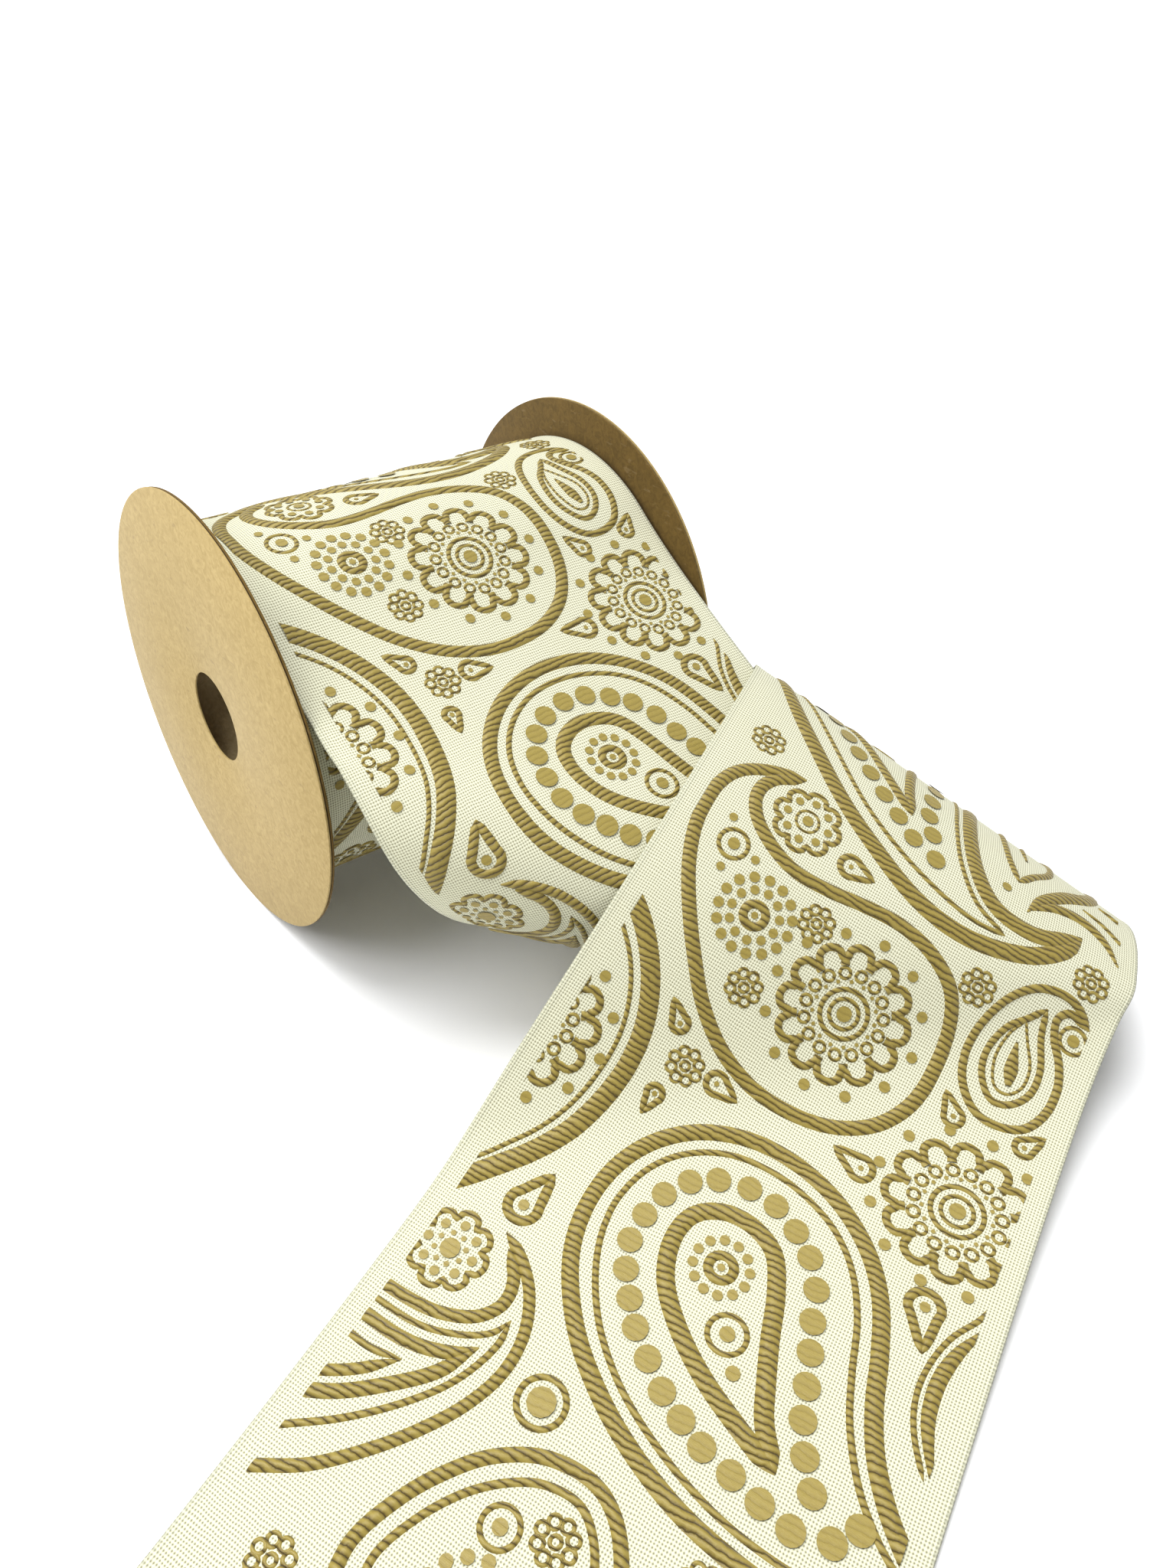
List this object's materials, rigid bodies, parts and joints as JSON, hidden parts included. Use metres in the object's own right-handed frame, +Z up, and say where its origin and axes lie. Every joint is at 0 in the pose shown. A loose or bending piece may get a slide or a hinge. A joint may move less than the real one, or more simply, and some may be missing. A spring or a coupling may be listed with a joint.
{
  "type": "ribbon spool",
  "caption": "Kraft card spool lying on two round flanges with a wide patterned woven ribbon wound on its core, its free end looped over and laid flat on the table.",
  "frame": {"origin": "on the table, under the middle of the whole assembly's box, loose ribbon included", "axes": "+X along the spool's axis from the near flange to the far flange, +Z up, -Y the side the ribbon is pulled to"},
  "size_m": [0.251, 0.2842, 0.103],
  "materials": {
    "kraft_face": "matt kraft card with fine fibres",
    "kraft_backing": "uncoated brown card",
    "core_board": "spiral-wound grey-brown board",
    "tape": "thin double-sided tape",
    "woven_ribbon": "cream jacquard weave with raised gold satin figures"
  },
  "bodies": {
    "pulled_ribbon": {"loose_ribbon": "woven_ribbon"},
    "spool": {"core_tube": "core_board", "near_flange_face": "kraft_face", "near_flange_backing": "kraft_backing", "far_flange_face": "kraft_face", "far_flange_backing": "kraft_backing", "start_tape": "tape", "wound_ribbon": "woven_ribbon"}
  },
  "joints": [
    {"name": "spool_turn", "type": "hinge", "parent": "pulled_ribbon", "child": "spool", "pos_m": [0.03079, 0.09063, 0.0515], "axis": [1, 0, 0], "continuous": true}
  ]
}
